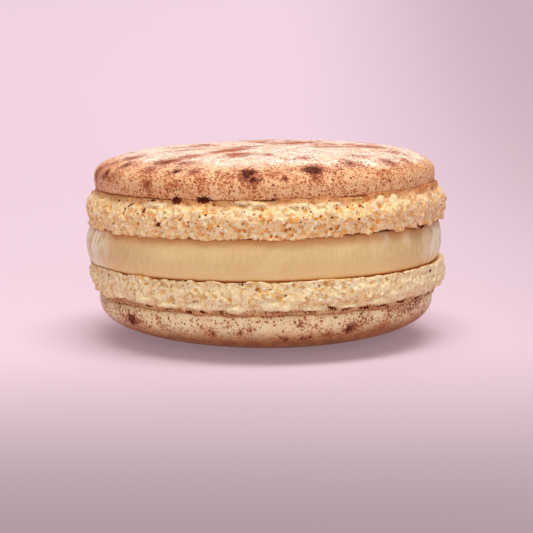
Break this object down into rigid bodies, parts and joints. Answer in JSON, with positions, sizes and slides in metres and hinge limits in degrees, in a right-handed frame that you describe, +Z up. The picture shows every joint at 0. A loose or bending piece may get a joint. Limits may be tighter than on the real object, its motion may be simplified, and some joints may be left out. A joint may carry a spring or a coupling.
{
  "type": "french macaron",
  "caption": "French macaron: domed almond meringue shells with ragged feet, dusted with cocoa, sandwiching a thick disc of caramel buttercream.",
  "frame": {"origin": "on the surface that the macaron rests on, under the middle of its lower cap", "axes": "+Z up through the layers, -Y towards the side the picture shows, +X to the right of that view"},
  "size_m": [0.0456, 0.0456, 0.0242],
  "materials": {
    "bottom_shell": "baked almond meringue, matt, cocoa dusted, with a cream-coloured open crumb at the foot",
    "filling": "caramel buttercream, satin, smooth",
    "top_shell": "baked almond meringue, matt, cocoa dusted, with a cream-coloured open crumb at the foot"
  },
  "bodies": {
    "root": {"bottom_shell": "bottom_shell", "filling": "filling", "top_shell": "top_shell"}
  },
  "joints": []
}
